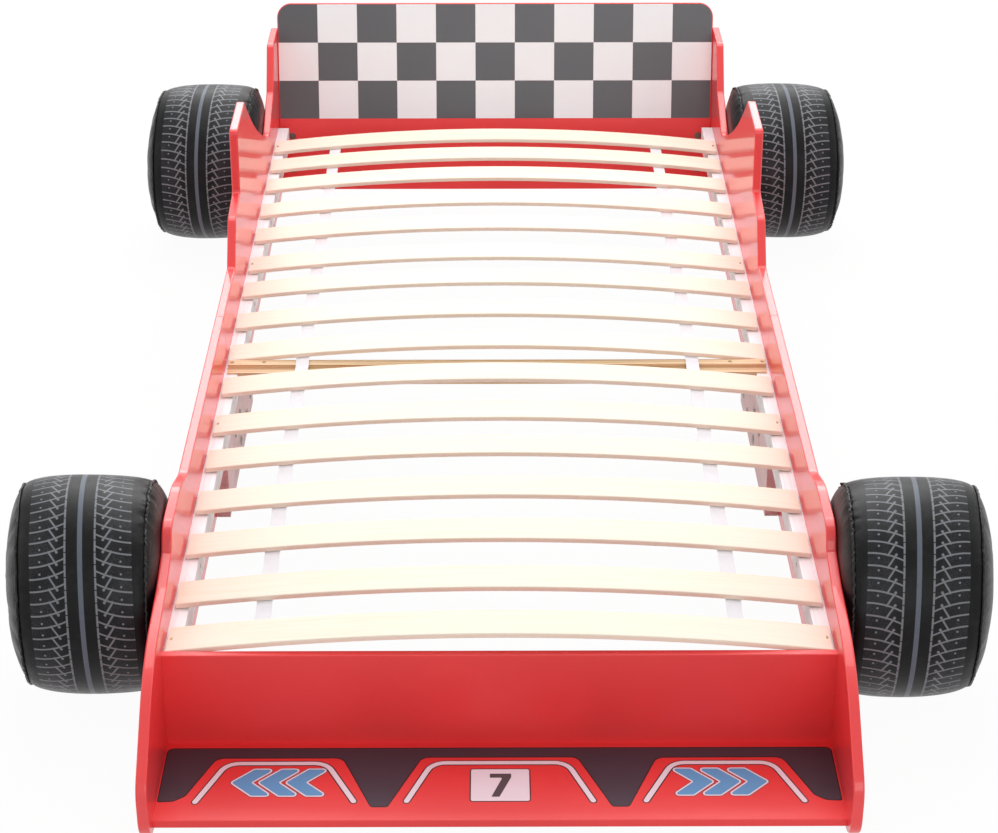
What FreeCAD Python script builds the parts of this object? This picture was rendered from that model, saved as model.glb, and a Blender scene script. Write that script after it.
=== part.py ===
"""A racing-car bed for children, at its real size in millimetres.

Frame: the origin is on the floor under the middle of the bed, +X is to the right of someone who
stands at the nose and looks along the bed, +Y runs from the nose to the head, +Z is up.

The bed is flat-packed furniture. Two long side panels, each in two halves with a butt joint, are
cut to a racing car's outline. A footboard, a low nose shelf and a headboard that leans back as
the car's spoiler stand between them on cam fittings. Rails on the inside carry bowed slats on
two webbing straps. A stuffed wheel is bolted outside each panel half through its plywood disc.
"""
import FreeCAD
import Part
import math
import os

Vec = FreeCAD.Vector
AXIS_X = Vec(1, 0, 0)
AXIS_Y = Vec(0, 1, 0)
AXIS_Z = Vec(0, 0, 1)

# ---- mattress space -------------------------------------------------------------------------
mattress_width = 900.0
side_play = 10.0                  # air between the mattress and each side panel
inner_width = mattress_width + 2 * side_play

# ---- side panels ----------------------------------------------------------------------------
overall_length = 2312.0
panel_thick = 15.0
panel_edge_round = 2.5
joint_arris = 0.7                 # chamfer where the panel halves meet
joint_y = -50.0                   # butt joint between the front and the rear half
side_height = 245.0               # straight edge beside the mattress
nose_height = 88.0                # front end, before its corner is rounded
bonnet_height = 200.0             # where the nose curve flattens
bonnet_run = 138.0                # from the front end to that place
bonnet_radius = 240.0
bump_rise = 22.0                  # front mudguard above the straight edge
bump_foot_ahead = 104.0           # the mudguard's corners, ahead of and behind the wheel's centre
bump_foot_rise = 18.0             # above the bonnet
bump_step_ahead = 40.0
bump_step_drop = 10.0             # below the straight edge
bump_top_ahead = 21.0
bump_top_behind = 98.0
bump_end_behind = 168.0
bump_radius = 140.0
fin_start_y = 146.0               # the fin's corners are measured along the bed from here
fin_height = 448.0
fin_step_run = 52.0
fin_step_rise = 72.0              # above the straight edge
fin_neck_run = 141.0
fin_neck_rise = 85.0
fin_front_run = 149.0
fin_front_drop = 3.0              # below the fin's rear corner
fin_top_run = 288.0
sweep_radius = 1350.0             # hollow curve behind the fin
sweep_lead = 47.0                 # how far its corner lies ahead of half way to the rear wheel
sweep_share = 0.44                # that corner's height, as a share of the fin over the notch
notch_height = 215.0              # low point above the rear wheel
notch_ahead = 9.0                 # of the rear wheel's centre
tail_height = 348.0
tail_flat = 115.0                 # level top of the tail
tail_foot_run = 57.0              # ahead of the level top
tail_foot_rise = 47.0             # above the notch

# ---- boards across the bed ------------------------------------------------------------------
board_thick = 12.0
board_edge_round = 1.5
nose_length = 200.0               # from the panels' front end to the footboard
foot_top = 168.0
foot_bottom = 8.0
shelf_top = 22.0
shelf_setback = 28.0              # the shelf stops short of the panels' front end
head_top = 403.0
head_bottom = 20.0
head_lean = 13.6                  # degrees, backwards
head_corner_radius = 30.0

# ---- slat base ------------------------------------------------------------------------------
rail_width = 22.0
rail_height = 40.0
rail_top = 158.0
rail_end_gap = 20.0               # between the rails' rear end and the headboard
slat_count = 16
slat_width = 60.0
slat_thick = 8.0
slat_crown = 28.0
slat_end_play = 5.0               # between a slat's end and the side panel
slat_edge_round = 2.0
first_slat_gap = 32.0             # from the footboard to the middle of the first slat
last_slat_gap = 127.0             # from the middle of the last slat to the rails' rear end
# The slats are set by hand along the straps: how far each one strays from an even spacing.
slat_strays = (0, -4, 6, 10, 18, 12, 24, 25, 27, 35, 23, 35, 34, 37, 21, 0)
strap_width = 22.0
strap_thick = 1.2
strap_x = 330.0
strap_gap = 0.2                   # under the slats
strap_inset = 5.0                 # the straps end under the first and the last slat
plate_ahead = 250.0               # the joint plate's reach before and behind the butt joint
plate_behind = 160.0
beam_y = -77.0                    # where the two laths of the centre beam meet
beam_lath = 18.0
beam_bottom = 139.0
beam_front_top = 160.5
beam_rear_top = 167.0

# ---- stuffed wheels -------------------------------------------------------------------------
wheel_radius = 157.0
wheel_width = 229.0
front_wheel_y = -758.0
rear_wheel_y = 869.0
wheel_gap = 0.3                   # cloth against the side panel
tread_inner_x = 15.0              # seams, measured out from the wheel's inner face
tread_outer_x = 200.0
inner_seam_drop = 9.0             # a seam is drawn in below the crown of the tread
outer_seam_drop = 14.0
wheel_flat_radius = 104.0         # where the inner face lies against the panel
wheel_dome_radius = 106.0         # the outer face's dome, and how far it bulges
wheel_dome_bulge = 12.0
cover_thick = 1.5
piping_radius = 2.2
piping_stand = 1.0                # how far the piping's centre stands off the seam
disc_radius = 100.0
disc_thick = 12.0

# ---- fittings -------------------------------------------------------------------------------
screw_radius = 2.0
screw_head_radius = 4.2
screw_head_height = 2.2
slat_screw_length = 30.0
beam_screw_length = 25.0
slats_per_screw = 5               # every fifth slat is screwed to the rails
rail_screw_length = 32.0
rail_screw_pitch = 185.0          # largest spacing of the rails' screws
beam_screw_inset = 54.0           # second screw, inboard of the one over the rail
bolt_radius = 3.5
bolt_head_radius = 8.0
bolt_head_height = 3.0
plate_bolt_depth = 10.0           # into the side panel
plate_bolt_rows = (34.0, 86.0)
plate_bolt_columns = (50.0, 120.0)
wheel_bolt_drop = 62.0            # below the wheel's centre, clear of the rail
wheel_bolt_spread = 60.0
cam_radius = 7.5
cam_depth = 9.5
cam_inset = 27.0                  # from the board's end to the cam's centre
cam_slot_radius = 1.6
cam_slot_depth = 1.5
cam_bolt_radius = 3.0
cam_bolt_depth = 10.0             # into the side panel
foot_cam_heights = (48.0, 120.0)
head_cam_heights = (62.0, 131.0)
shelf_cam_insets = (45.0, 135.0)  # behind the shelf's front edge

# ---- worked out -----------------------------------------------------------------------------
inner_x = inner_width / 2
outer_x = inner_x + panel_thick
front_y = -overall_length / 2
rear_y = overall_length / 2
foot_front_y = front_y + nose_length
foot_rear_y = foot_front_y + board_thick
shelf_front_y = front_y + shelf_setback
shelf_bottom = shelf_top - board_thick
lean = math.radians(head_lean)
head_base_y = rear_y - board_thick * math.cos(lean) - head_top * math.tan(lean)
rail_x = inner_x - rail_width
rail_bottom = rail_top - rail_height
rail_rear_y = head_base_y + rail_bottom * math.tan(lean) - rail_end_gap
slat_half = inner_x - slat_end_play
slat_under = rail_top
slat_radius = (slat_half ** 2 + slat_crown ** 2) / (2 * slat_crown)
first_slat_y = foot_rear_y + first_slat_gap
last_slat_y = rail_rear_y - last_slat_gap
wheel_face_x = outer_x + wheel_gap
wheel_z = wheel_radius


def head_y(height):
    """Y of the headboard's front face at a height."""
    return head_base_y + height * math.tan(lean)


def box(x0, x1, y0, y1, z0, z1):
    return Part.makeBox(x1 - x0, y1 - y0, z1 - z0, Vec(x0, y0, z0))


def cylinder_x(radius, x0, x1, y, z):
    return Part.makeCylinder(radius, x1 - x0, Vec(x0, y, z), AXIS_X)


def mirrored(shape):
    """The same piece on the left side."""
    return shape.mirror(Vec(0, 0, 0), AXIS_X)


def save(name, shape):
    shape.exportStep("parts/" + name + ".step")


def save_pair(name, right):
    save(name + "_right", right)
    save(name + "_left", mirrored(right))


def rounded_face(corners, to_point):
    """A face with a corner at each (u, v, radius), rounded where the radius isn't 0."""
    starts, ends, middles = [], [], []
    count = len(corners)
    for i, (u, v, radius) in enumerate(corners):
        here = Vec(u, v, 0)
        before = Vec(corners[i - 1][0], corners[i - 1][1], 0)
        after = Vec(corners[(i + 1) % count][0], corners[(i + 1) % count][1], 0)
        back = (before - here).normalize()
        ahead = (after - here).normalize()
        half_angle = back.getAngle(ahead) / 2
        cut = radius / math.tan(half_angle)
        bisector = back + ahead
        starts.append(here + back * cut)
        ends.append(here + ahead * cut)
        if radius:
            to_centre = bisector.normalize() * (radius / math.sin(half_angle))
            middles.append(here + to_centre - bisector * radius)
        else:
            middles.append(None)
    edges = []
    for i in range(count):
        if middles[i]:
            points = [to_point(p.x, p.y) for p in (starts[i], middles[i], ends[i])]
            edges.append(Part.Arc(*points).toShape())
        following = starts[(i + 1) % count]
        edges.append(Part.makeLine(to_point(ends[i].x, ends[i].y), to_point(following.x, following.y)))
    return Part.Face(Part.Wire(edges))


def edges_where(shape, test):
    """The edges whose middle and both ends pass a test."""
    chosen = []
    for edge in shape.Edges:
        points = [v.Point for v in edge.Vertexes]
        points.append(edge.valueAt((edge.FirstParameter + edge.LastParameter) / 2))
        if all(test(p) for p in points):
            chosen.append(edge)
    return chosen


# ---- fittings -------------------------------------------------------------------------------

def turned(profile, base, direction):
    """A turned piece: (distance, radius) pairs along direction from base, closed on the axis."""
    points = [Vec(radius, 0, distance) for distance, radius in profile]
    face = Part.Face(Part.makePolygon(points + [points[0]]))
    piece = face.revolve(Vec(0, 0, 0), AXIS_Z, 360)
    piece.Placement = FreeCAD.Placement(base, FreeCAD.Rotation(AXIS_Z, direction))
    return piece


def wood_screw(base, direction, length):
    """A countersunk screw whose head lies flush at base."""
    profile = [(0, 0), (0, screw_head_radius), (screw_head_height, screw_radius),
               (length - screw_radius, screw_radius), (length, 0)]
    return turned(profile, base, direction)


def panel_bolt(base, direction, length):
    """A flanged bolt: its low head stands on the board at base."""
    profile = [(-bolt_head_height, 0), (-bolt_head_height, bolt_head_radius - bolt_head_height / 2),
               (-bolt_head_height / 2, bolt_head_radius), (0, bolt_head_radius),
               (0, bolt_radius), (length, bolt_radius), (length, 0)]
    return turned(profile, base, direction)


def cam_fitting(y, z, turn):
    """The right-hand cam and its bolt at the end of a cross board.

    y and z are on the middle of the board's thickness. turn is the angle about X from +Y to
    the direction in which the cam is let into its face.
    """
    cam_x = inner_x - cam_inset
    face = -board_thick / 2
    cam = Part.makeCylinder(cam_radius, cam_depth, Vec(cam_x, face, 0), AXIS_Y)
    slot = box(cam_x - cam_radius, cam_x + cam_radius, face, face + cam_slot_depth,
               -cam_slot_radius, cam_slot_radius)
    bolt = cylinder_x(cam_bolt_radius, cam_x, inner_x + cam_bolt_depth, 0, 0)
    cam = cam.cut(slot).cut(bolt)
    place = FreeCAD.Placement(Vec(0, y, z), FreeCAD.Rotation(AXIS_X, turn))
    for piece in (cam, bolt):
        piece.Placement = place.multiply(piece.Placement)
    pocket = Part.makeCylinder(cam_radius, cam_depth, Vec(cam_x, face, 0), AXIS_Y)
    pocket.Placement = place.multiply(pocket.Placement)
    return cam, bolt, pocket


def cam_fittings():
    """Each right-hand fitting with the name of the board that it holds."""
    middle = board_thick / 2
    fittings = []
    for height in foot_cam_heights:
        fittings.append(("footboard",) + cam_fitting(foot_rear_y - middle, height, 180))
    for height in head_cam_heights:
        y = head_y(height) + middle * math.cos(lean)
        z = height - middle * math.sin(lean)
        fittings.append(("headboard",) + cam_fitting(y, z, -head_lean))
    for inset in shelf_cam_insets:
        fittings.append(("nose_shelf",) + cam_fitting(shelf_front_y + inset, shelf_top - middle, 90))
    return fittings


def wheel_bolts(wheel_y):
    """The two bolts that hold a right-hand wheel's disc, from inside the bed."""
    length = panel_thick + wheel_gap + cover_thick + disc_thick - 1
    z = wheel_z - wheel_bolt_drop
    return [panel_bolt(Vec(inner_x, wheel_y + side * wheel_bolt_spread, z), AXIS_X, length)
            for side in (-1, 1)]


def plate_bolts():
    """The bolts through a right-hand joint plate into both panel halves."""
    length = rail_width + plate_bolt_depth
    return [panel_bolt(Vec(rail_x, joint_y + side * column, row), AXIS_X, length)
            for side in (-1, 1) for column in plate_bolt_columns for row in plate_bolt_rows]


def rail_screws(y0, y1):
    """Screws through a right-hand rail into the side panel, evenly spaced."""
    count = math.ceil((y1 - y0) / rail_screw_pitch)
    pitch = (y1 - y0) / count
    z = rail_top - rail_height / 2
    return [wood_screw(Vec(rail_x, y0 + (i + 0.5) * pitch, z), AXIS_X, rail_screw_length)
            for i in range(count)]


# ---- side panels ----------------------------------------------------------------------------

def panel_half(corners):
    """A panel half on the right, its arrises rounded, and only just broken at the butt joint.

    corners are (y, z, radius), round the outline.
    """
    face = rounded_face(corners, lambda u, v: Vec(inner_x, u, v))
    half = face.extrude(AXIS_X * panel_thick)

    def on_long_edge(p):
        return min(abs(p.x - inner_x), abs(p.x - outer_x)) < 0.01 and p.z > 0.01

    outline = [e for e in edges_where(half, on_long_edge)
               if not all(abs(v.Point.y - joint_y) < 0.01 for v in e.Vertexes)]
    half = half.makeFillet(panel_edge_round, outline)
    joint_edges = edges_where(half, lambda p: abs(p.y - joint_y) < 0.01 and p.z > -0.01)
    upper = [e for e in joint_edges if max(v.Point.z for v in e.Vertexes) > 0.01]
    return half.makeChamfer(joint_arris, upper)


def front_half():
    """Nose curve, mudguard bump over the front wheel, then the straight edge."""
    bump_top = side_height + bump_rise
    corners = [
        (joint_y, 0, 0),
        (front_y, 0, 40),
        (front_y, nose_height, 45),
        (front_y + bonnet_run, bonnet_height, bonnet_radius),
        (front_wheel_y - bump_foot_ahead, bonnet_height + bump_foot_rise, 20),
        (front_wheel_y - bump_step_ahead, side_height - bump_step_drop, 5),
        (front_wheel_y - bump_top_ahead, bump_top, 40),
        (front_wheel_y + bump_top_behind, bump_top, bump_radius),
        (front_wheel_y + bump_end_behind, side_height, 60),
        (joint_y, side_height, 0),
    ]
    return panel_half(corners)


def rear_half():
    """Straight edge, the fin with its swept back, the notch over the wheel and the tail."""
    tail_y = rear_y - tail_flat
    sweep_y = (fin_start_y + fin_top_run + rear_wheel_y) / 2 - sweep_lead
    sweep_height = notch_height + sweep_share * (fin_height - notch_height)
    corners = [
        (joint_y, side_height, 0),
        (fin_start_y, side_height, 8),
        (fin_start_y + fin_step_run, side_height + fin_step_rise, 18),
        (fin_start_y + fin_neck_run, side_height + fin_neck_rise, 6),
        (fin_start_y + fin_front_run, fin_height - fin_front_drop, 9),
        (fin_start_y + fin_top_run, fin_height, 12),
        (sweep_y, sweep_height, sweep_radius),
        (rear_wheel_y - notch_ahead, notch_height, 30),
        (tail_y - tail_foot_run, notch_height + tail_foot_rise, 15),
        (tail_y, tail_height, 12),
        (rear_y, tail_height, 10),
        (rear_y, 0, 20),
        (joint_y, 0, 0),
    ]
    return panel_half(corners)


def side_panels(fittings):
    """Both halves with the holes for every bolt and screw that enters them."""
    bores = [bolt for _, _, bolt, _ in fittings] + plate_bolts()
    bores += rail_screws(foot_rear_y, joint_y) + rail_screws(joint_y, rail_rear_y)
    bores += wheel_bolts(front_wheel_y) + wheel_bolts(rear_wheel_y)
    for name, half in (("side_front", front_half()), ("side_rear", rear_half())):
        near = [bore for bore in bores if bore.BoundBox.intersect(half.BoundBox)]
        save_pair(name, half.cut(Part.makeCompound(near)))


# ---- cross boards ---------------------------------------------------------------------------

def without_fittings(board, name, fittings):
    """A board with pockets for its cams and bores for their bolts, at both ends."""
    holes = []
    for held, _, bolt, pocket in fittings:
        if held == name:
            holes += [pocket, bolt, mirrored(pocket), mirrored(bolt)]
    return board.cut(Part.makeCompound(holes))


def footboard(fittings):
    board = box(-inner_x, inner_x, foot_front_y, foot_rear_y, foot_bottom, foot_top)
    top_edges = edges_where(board, lambda p: abs(p.z - foot_top) < 0.01)
    long_edges = [e for e in top_edges if e.Length > inner_x]
    board = board.makeFillet(board_edge_round, long_edges)
    save("footboard", without_fittings(board, "footboard", fittings))


def nose_shelf(fittings):
    board = box(-inner_x, inner_x, shelf_front_y, foot_front_y, shelf_bottom, shelf_top)
    front_edges = edges_where(board, lambda p: abs(p.y - shelf_front_y) < 0.01)
    long_edges = [e for e in front_edges if e.Length > inner_x]
    board = board.makeFillet(board_edge_round, long_edges)
    save("nose_shelf", without_fittings(board, "nose_shelf", fittings))


def headboard(fittings):
    """The spoiler: a board with rounded top corners that leans back between the panels."""
    low = head_bottom / math.cos(lean)
    high = head_top / math.cos(lean)
    corners = [(-inner_x, low, 0), (inner_x, low, 0),
               (inner_x, high, head_corner_radius), (-inner_x, high, head_corner_radius)]
    face = rounded_face(corners, lambda u, v: Vec(u, 0, v))
    board = face.extrude(AXIS_Y * board_thick)
    top = edges_where(board, lambda p: p.z > high - head_corner_radius - 0.01)
    arrises = [e for e in top if abs(e.Vertexes[0].Point.y - e.Vertexes[-1].Point.y) < 0.01]
    board = board.makeFillet(board_edge_round, arrises)
    board.Placement = FreeCAD.Placement(Vec(0, head_base_y, 0), FreeCAD.Rotation(AXIS_X, -head_lean))
    save("headboard", without_fittings(board, "headboard", fittings))


# ---- slat base ------------------------------------------------------------------------------

def slat_y(number):
    """Y of a slat's middle: an even spacing plus the slat's own stray."""
    share = number / (slat_count - 1)
    even = first_slat_y + share * (last_slat_y - first_slat_y)
    return even + slat_strays[number % len(slat_strays)]


def slat_is_screwed(number):
    return number % slats_per_screw == 0


def bow_height(x):
    """Height of the slats' underside at x."""
    centre_z = slat_under + slat_crown - slat_radius
    return centre_z + math.sqrt(slat_radius ** 2 - x ** 2)


def bowed(y0, y1, over, thick, edge_round, x0, x1):
    """A flat strip's cross-section at the crown, carried along the slats' bow from x0 to x1.

    over is the height of the strip's top above the slats' underside.
    """
    crown_z = slat_under + slat_crown
    corners = [(y0, crown_z + over - thick, edge_round), (y1, crown_z + over - thick, edge_round),
               (y1, crown_z + over, edge_round), (y0, crown_z + over, edge_round)]
    section = rounded_face(corners, lambda u, v: Vec(0, u, v))
    centre = Vec(0, 0, crown_z - slat_radius)
    start = math.degrees(math.asin(x0 / slat_radius))
    end = math.degrees(math.asin(x1 / slat_radius))
    section.rotate(centre, AXIS_Y, start)
    return section.revolve(centre, AXIS_Y, end - start)


def slat_screws():
    """Right-hand screws from the screwed slats' ends down into the rails."""
    x = inner_x - rail_width / 2
    top = bow_height(x) + slat_thick
    return [wood_screw(Vec(x, slat_y(i), top), -AXIS_Z, slat_screw_length)
            for i in range(slat_count) if slat_is_screwed(i)]


def beam_screws():
    """Right-hand screws in the centre beam: one over the rail, one inboard of it."""
    over_rail = inner_x - rail_width / 2
    y = beam_y + beam_lath / 2
    return [wood_screw(Vec(x, y, beam_rear_top), -AXIS_Z, beam_screw_length)
            for x in (over_rail, over_rail - beam_screw_inset)]


def slats():
    screws = slat_screws()
    holes = Part.makeCompound(screws + [mirrored(s) for s in screws])
    for i in range(slat_count):
        y = slat_y(i)
        slat = bowed(y - slat_width / 2, y + slat_width / 2, slat_thick, slat_thick, slat_edge_round,
                     -slat_half, slat_half)
        if slat_is_screwed(i):
            slat = slat.cut(holes)
        save("slat_%02d" % (i + 1), slat)


def rails():
    upper_screws = slat_screws() + beam_screws()
    for name, y0, y1 in (("rail_front", foot_rear_y, joint_y), ("rail_rear", joint_y, rail_rear_y)):
        rail = box(rail_x, inner_x, y0, y1, rail_bottom, rail_top)
        holes = Part.makeCompound(rail_screws(y0, y1) + upper_screws)
        save_pair(name, rail.cut(holes))


def joint_plates():
    plate = box(rail_x, inner_x, joint_y - plate_ahead, joint_y + plate_behind, 0, rail_bottom)
    save_pair("joint_plate", plate.cut(Part.makeCompound(plate_bolts())))


def straps():
    """Webbing that holds the slats at their spacing, following their bow."""
    strip = bowed(slat_y(0) - slat_width / 2 + strap_inset,
                  slat_y(slat_count - 1) + slat_width / 2 - strap_inset,
                  -strap_gap, strap_thick, 0, strap_x - strap_width / 2, strap_x + strap_width / 2)
    save_pair("strap", strip)


def centre_beam():
    """Two laths side by side, notched so that thin tongues lie on the rails."""
    screws = beam_screws()
    holes = Part.makeCompound(screws + [mirrored(s) for s in screws])
    laths = (("beam_front", beam_y - beam_lath, beam_front_top),
             ("beam_rear", beam_y, beam_rear_top))
    for name, y0, top in laths:
        lath = box(-slat_half, slat_half, y0, y0 + beam_lath, beam_bottom, top)
        notch = box(rail_x, inner_x, y0, y0 + beam_lath, beam_bottom, rail_top)
        save(name, lath.cut(notch).cut(mirrored(notch)).cut(holes))


# ---- stuffed wheels -------------------------------------------------------------------------

def skin_outline(inset):
    """The wheel's outline moved inwards by inset, as edges from the axis out and back again.

    x is measured out from the inner face, y is the radius. In order: flat inner face, inner
    shoulder, tread, outer shoulder and domed outer face.
    """
    x_out = wheel_width - inset
    crown = wheel_radius - inset
    inner_seam = crown - inner_seam_drop
    outer_seam = crown - outer_seam_drop

    def at(x, radius):
        return Vec(x, radius, 0)

    run = tread_inner_x - inset
    rise = inner_seam - wheel_flat_radius
    round_in = (run ** 2 + rise ** 2) / (2 * run)
    turn = math.atan2(rise, round_in - run) / 2
    shoulder_middle = at(inset + round_in * (1 - math.cos(turn)),
                         wheel_flat_radius + round_in * math.sin(turn))

    dome_edge = wheel_dome_radius - inset
    sphere = (dome_edge ** 2 + wheel_dome_bulge ** 2) / (2 * wheel_dome_bulge)
    dome_middle_x = x_out - sphere + math.sqrt(sphere ** 2 - (dome_edge / 2) ** 2)
    tread_middle_x = (tread_inner_x + tread_outer_x) / 2
    dome_start = at(x_out - wheel_dome_bulge, dome_edge)
    return [
        Part.makeLine(at(inset, 0), at(inset, wheel_flat_radius)),
        Part.Arc(at(inset, wheel_flat_radius), shoulder_middle, at(tread_inner_x, inner_seam)).toShape(),
        Part.Arc(at(tread_inner_x, inner_seam), at(tread_middle_x, crown),
                 at(tread_outer_x, outer_seam)).toShape(),
        Part.Arc(at(tread_outer_x, outer_seam), at(x_out - 1.5 * wheel_dome_bulge, 0.87 * outer_seam),
                 dome_start).toShape(),
        Part.Arc(dome_start, at(dome_middle_x, dome_edge / 2), at(x_out, 0)).toShape(),
    ]


def wheel_turned(edges):
    """A closed piece turned about the wheel's axis from an outline that lacks its joining lines."""
    starts = [edge.Vertexes[0].Point for edge in edges]
    ends = [edge.Vertexes[-1].Point for edge in edges]
    joined = list(edges)
    for end, start in zip(ends, starts[1:] + starts[:1]):
        if end.distanceToPoint(start) > 1e-6:
            joined.append(Part.makeLine(end, start))
    wire = Part.Wire(Part.__sortEdges__(joined))
    return Part.Face(wire).revolve(Vec(0, 0, 0), AXIS_X, 360)


def backwards(edges):
    """The same run of edges followed the other way."""
    turned_round = []
    for edge in reversed(edges):
        middle = edge.valueAt((edge.FirstParameter + edge.LastParameter) / 2)
        first, last = edge.Vertexes[0].Point, edge.Vertexes[-1].Point
        if edge.Curve.TypeId == "Part::GeomLine":
            turned_round.append(Part.makeLine(last, first))
        else:
            turned_round.append(Part.Arc(last, middle, first).toShape())
    return turned_round


def cover_part(first, last):
    """One part of the cover: a stretch of the skin's outline, as thick as the cloth."""
    outer = skin_outline(0)[first:last]
    inner = skin_outline(cover_thick)[first:last]
    return wheel_turned(outer + backwards(inner))


def tread_part():
    """The tread's band, whose edges are rolled over a cord as piping."""
    skin = skin_outline(0)[2]
    lining = backwards(skin_outline(cover_thick)[2:3])
    bead = 2 * piping_radius
    circle = skin.Curve
    beads = []
    for x, drop, side in ((tread_inner_x, inner_seam_drop, 1), (tread_outer_x, outer_seam_drop, -1)):
        foot_x = x + side * bead
        radius = wheel_radius - drop + piping_stand
        foot = circle.value(circle.parameter(Vec(foot_x, wheel_radius, 0)))
        beads.append((Vec(x, radius, 0), Vec(x + side * piping_radius, radius + piping_radius, 0), foot))
    tread_middle = Vec((tread_inner_x + tread_outer_x) / 2, wheel_radius, 0)
    inner, outer = beads
    return wheel_turned([
        Part.Arc(*inner).toShape(),
        Part.Arc(inner[2], tread_middle, outer[2]).toShape(),
        Part.Arc(outer[2], outer[1], outer[0]).toShape(),
    ] + lining)


def wheel_pieces(bolts):
    """Cover in three parts, foam core and plywood disc, clear of the bolts."""
    disc = cylinder_x(disc_radius, cover_thick, cover_thick + disc_thick, 0, 0)
    stuffing = wheel_turned(skin_outline(cover_thick))
    return {
        "tread": tread_part(),
        "outer_cover": cover_part(3, 5),
        "inner_cover": cover_part(0, 2).cut(bolts),
        "foam": stuffing.cut(disc).cut(bolts),
        "disc": disc.cut(bolts),
    }


def wheels():
    for end, wheel_y in (("front", front_wheel_y), ("rear", rear_wheel_y)):
        centre = Vec(wheel_face_x, wheel_y, wheel_z)
        bolts = Part.makeCompound(wheel_bolts(wheel_y))
        bolts.translate(-centre)
        for piece_name, piece in wheel_pieces(bolts).items():
            piece.translate(centre)
            save_pair("wheel_" + end + "_" + piece_name, piece)


def fastener_groups(fittings):
    """Identical fasteners share a node, both sides of the bed together."""
    rail_rows = rail_screws(foot_rear_y, joint_y) + rail_screws(joint_y, rail_rear_y)
    groups = {
        "cams": [cam for _, cam, _, _ in fittings],
        "cam_bolts": [bolt for _, _, bolt, _ in fittings],
        "wood_screws": slat_screws() + beam_screws(),
        "rail_screws": rail_rows,
        "plate_bolts": plate_bolts(),
        "wheel_bolts": wheel_bolts(front_wheel_y) + wheel_bolts(rear_wheel_y),
    }
    for name, right in groups.items():
        save(name, Part.makeCompound(right + [mirrored(piece) for piece in right]))


os.makedirs("parts", exist_ok=True)
all_fittings = cam_fittings()
side_panels(all_fittings)
footboard(all_fittings)
nose_shelf(all_fittings)
headboard(all_fittings)
slats()
rails()
joint_plates()
straps()
centre_beam()
wheels()
fastener_groups(all_fittings)
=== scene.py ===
"""Looks of the racing-car bed: finishes, printed boards, webbing, fittings and stuffed wheels.

Lengths are in metres, and in millimetres where they are written with MM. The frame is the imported
model's: +X to the right, +Y from the nose to the head, +Z up and the floor at 0.
"""
import bmesh
import bpy
import math
import numpy as np
import random
from mathutils import Matrix
from mathutils import Vector


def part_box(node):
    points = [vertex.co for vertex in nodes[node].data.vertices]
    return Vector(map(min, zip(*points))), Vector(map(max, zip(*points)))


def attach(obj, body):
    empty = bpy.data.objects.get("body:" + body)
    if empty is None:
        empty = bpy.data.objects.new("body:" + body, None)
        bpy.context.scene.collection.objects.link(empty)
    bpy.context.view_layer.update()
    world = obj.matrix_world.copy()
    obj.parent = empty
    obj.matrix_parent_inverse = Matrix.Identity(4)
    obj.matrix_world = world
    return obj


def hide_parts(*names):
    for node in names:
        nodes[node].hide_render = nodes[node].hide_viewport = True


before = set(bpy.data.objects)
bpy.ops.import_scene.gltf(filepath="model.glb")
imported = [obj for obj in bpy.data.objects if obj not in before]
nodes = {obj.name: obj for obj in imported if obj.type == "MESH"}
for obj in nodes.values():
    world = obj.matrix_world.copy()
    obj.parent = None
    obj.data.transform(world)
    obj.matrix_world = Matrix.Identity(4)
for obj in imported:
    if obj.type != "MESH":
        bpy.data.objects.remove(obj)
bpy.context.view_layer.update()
MM = 0.001
SIDES = (("left", -1), ("right", 1))

# ---- the bed, as far as the new pieces need it ----
INNER_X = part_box("side_front_right")[0].x
HEAD_LEAN = math.radians(13.6)
HEAD_BOTTOM = 20 * MM
HEAD_TOP = 403 * MM
HEAD_BASE_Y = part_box("headboard")[0].y - HEAD_BOTTOM * math.tan(HEAD_LEAN)
SHELF_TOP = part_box("nose_shelf")[1].z
SLAT_COUNT = 16
SLAT_THICK = 8 * MM
SLAT_HALF = INNER_X - 5 * MM
SLAT_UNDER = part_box("rail_front_right")[1].z
SLAT_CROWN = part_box("slat_08")[1].z - SLAT_THICK - SLAT_UNDER
SLAT_RADIUS = (SLAT_HALF ** 2 + SLAT_CROWN ** 2) / (2 * SLAT_CROWN)
STRAP_X = sum(corner.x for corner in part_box("strap_right")) / 2
WHEEL_RADIUS = 157 * MM
WHEEL_FACE_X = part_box("wheel_front_inner_cover_right")[0].x
WHEEL_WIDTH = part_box("wheel_front_outer_cover_right")[1].x - WHEEL_FACE_X

# ---- colours, linear ----
# Lacquer, ink and zinc plate: the colour, and the second colour that it clouds to.
RED = ((0.85, 0.040, 0.042), (0.78, 0.032, 0.035))
INKS = {
    "dark": ((0.066, 0.067, 0.076), (0.060, 0.061, 0.070)),
    "white": ((0.90, 0.93, 0.95), (0.88, 0.90, 0.92)),
    "field": ((0.033, 0.038, 0.055), (0.030, 0.034, 0.049)),
    "line": ((0.012, 0.008, 0.010), (0.016, 0.010, 0.012)),
    "pale_pink": ((0.88, 0.76, 0.84), (0.86, 0.74, 0.82)),
    "blue": ((0.105, 0.36, 0.66), (0.10, 0.34, 0.64)),
}
PLAIN_ZINC = ((0.40, 0.38, 0.36), (0.28, 0.26, 0.24))
YELLOW_ZINC = ((0.42, 0.31, 0.18), (0.24, 0.17, 0.09))
DULL_ZINC = ((0.24, 0.17, 0.15), (0.14, 0.09, 0.08))
BIRCH_PALE = (0.88, 0.79, 0.67)
BIRCH_WARM = (0.84, 0.70, 0.53)
BIRCH_PLY = (0.88, 0.75, 0.61)
PINE_PALE = (0.80, 0.60, 0.38)
PINE_DARK = (0.52, 0.31, 0.15)
RAIL_WHITE = (0.87, 0.90, 0.92)
PLATE_PINK = (0.74, 0.52, 0.52)
WEBBING_WHITE = (0.92, 0.91, 0.94)
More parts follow.
